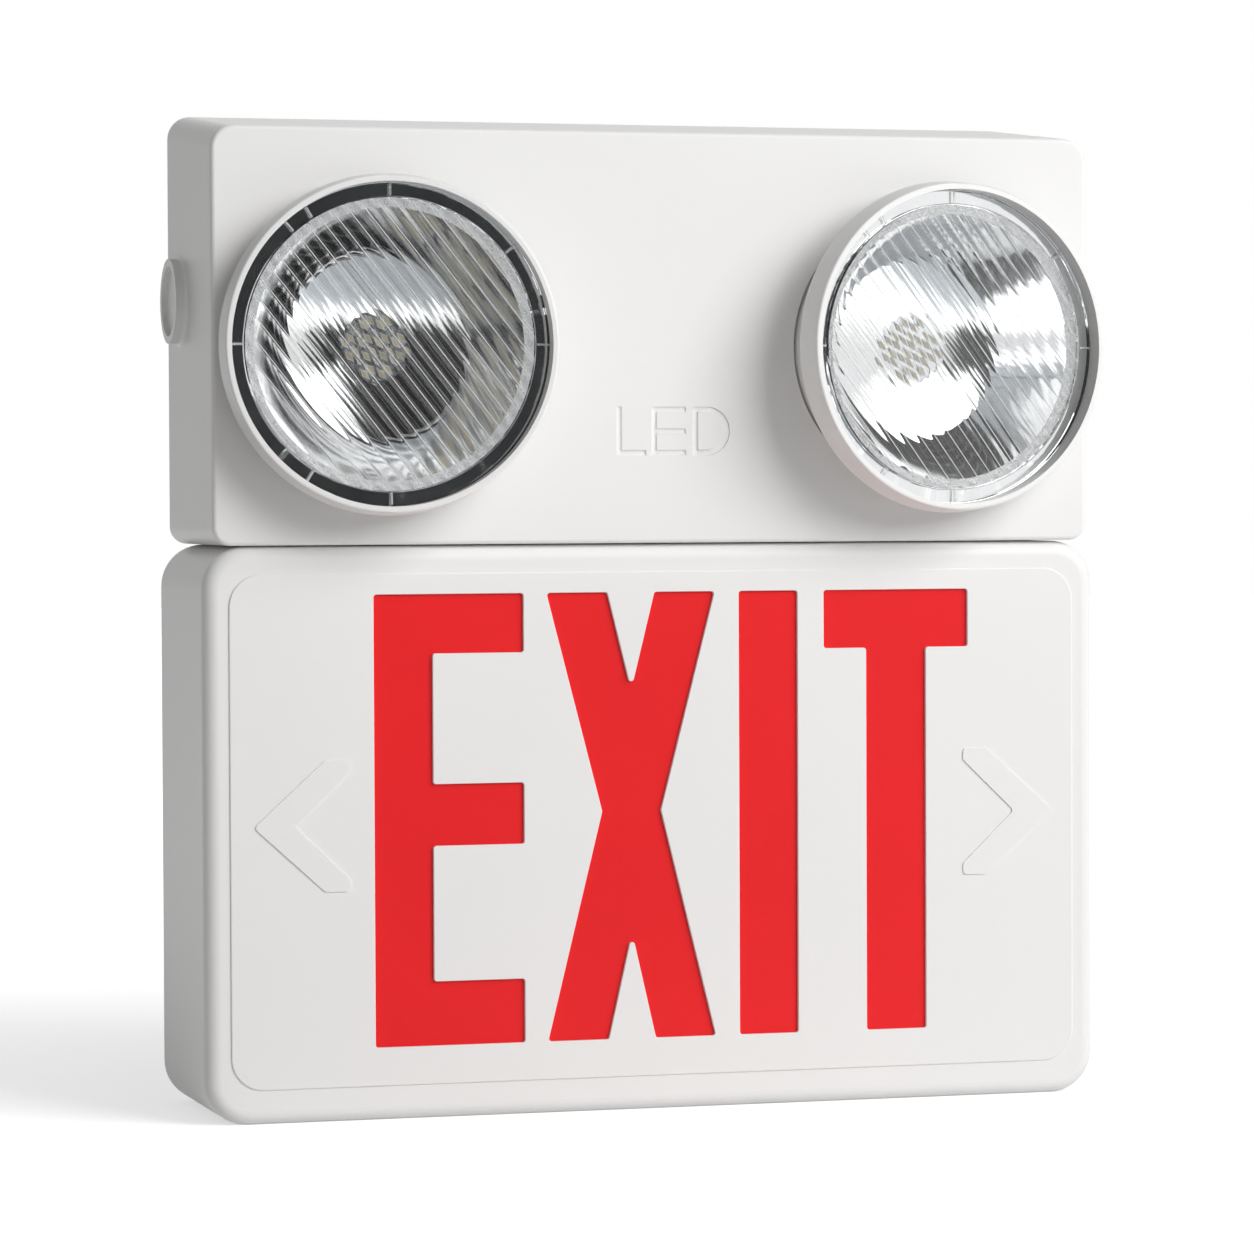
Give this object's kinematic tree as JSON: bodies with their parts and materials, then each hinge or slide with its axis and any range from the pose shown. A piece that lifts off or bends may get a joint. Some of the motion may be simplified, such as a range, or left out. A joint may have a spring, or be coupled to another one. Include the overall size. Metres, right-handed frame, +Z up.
{
  "type": "emergency exit light",
  "caption": "White exit sign with red stencil letters and a battery-backed lamp housing above it, carrying round aimable lamp heads with fluted lenses.",
  "frame": {"origin": "centre of the sign box's flat underside, at the middle of its depth", "axes": "+X to the right seen from the front, +Y towards the wall, +Z up; the letters face -Y"},
  "size_m": [0.3212, 0.1064, 0.3416],
  "materials": {
    "white_plastic": "satin moulded thermoplastic",
    "inner_plastic": "plain moulded",
    "red_acrylic": "translucent sheet, satin",
    "clear_lens": "clear moulded, polished",
    "mirror_finish": "metallised",
    "white_board": "white solder mask",
    "phosphor": "yellow phosphor",
    "aluminium": "cast",
    "screw_steel": "zinc plated",
    "plated_steel": "zinc plated",
    "battery_sleeve": "shrink sleeve",
    "green_board": "solder mask",
    "black_plastic": "moulded",
    "core_steel": "varnished laminations",
    "button_plastic": "moulded",
    "pilot_red": "clear red"
  },
  "bodies": {
    "body": {"battery_clip": "plated_steel", "battery_pack": "battery_sleeve", "board_components": "black_plastic", "charger_board": "green_board", "charger_screws": "screw_steel", "joining_nipple": "plated_steel", "lamp_back_plate": "white_plastic", "lamp_back_screws": "screw_steel", "lamp_housing": "white_plastic", "left_retainer": "inner_plastic", "left_retainer_screws": "screw_steel", "light_tray": "white_plastic", "lower_led_bar": "white_board", "nipple_nuts": "plated_steel", "pilot_lamp": "pilot_red", "red_diffuser": "red_acrylic", "right_retainer": "inner_plastic", "right_retainer_screws": "screw_steel", "sign_back_plate": "white_plastic", "sign_back_screws": "screw_steel", "sign_housing": "white_plastic", "sign_leds": "phosphor", "terminal_block": "black_plastic", "test_switch": "black_plastic", "test_switch_nut": "plated_steel", "transformer": "core_steel", "tray_screws": "screw_steel", "upper_led_bar": "white_board"},
    "left_swivel": {"left_swivel_ring": "inner_plastic", "left_tilt_pins": "screw_steel"},
    "left_head": {"left_head_shell": "white_plastic", "left_lens": "clear_lens", "left_reflector": "mirror_finish", "left_led_board": "white_board", "left_leds": "phosphor", "left_heat_sink": "aluminium", "left_engine_screws": "screw_steel"},
    "right_swivel": {"right_swivel_ring": "inner_plastic", "right_tilt_pins": "screw_steel"},
    "right_head": {"right_head_shell": "white_plastic", "right_lens": "clear_lens", "right_reflector": "mirror_finish", "right_led_board": "white_board", "right_leds": "phosphor", "right_heat_sink": "aluminium", "right_engine_screws": "screw_steel"},
    "test_button": {"test_button": "button_plastic"}
  },
  "joints": [
    {"name": "left_head_swivel", "type": "hinge", "parent": "body", "child": "left_swivel", "pos_m": [-0.0963, -0.0281, 0.2605], "axis": [0, 1, 0], "range_deg": [-90, 90]},
    {"name": "left_head_tilt", "type": "hinge", "parent": "left_swivel", "child": "left_head", "pos_m": [-0.0963, -0.0281, 0.2605], "axis": [0, 0, 1], "range_deg": [-6.5, 14.5]},
    {"name": "right_head_swivel", "type": "hinge", "parent": "body", "child": "right_swivel", "pos_m": [0.0963, -0.0281, 0.2605], "axis": [0, 1, 0], "range_deg": [-90, 90]},
    {"name": "right_head_tilt", "type": "hinge", "parent": "right_swivel", "child": "right_head", "pos_m": [0.0963, -0.0281, 0.2605], "axis": [0, 0, 1], "range_deg": [-19, 2]},
    {"name": "test_button_press", "type": "slide", "parent": "body", "child": "test_button", "axis": [-1, 0, 0], "range_m": [0, 0.0015], "stiffness_N_per_m": 400, "springref_m": -0.001}
  ]
}
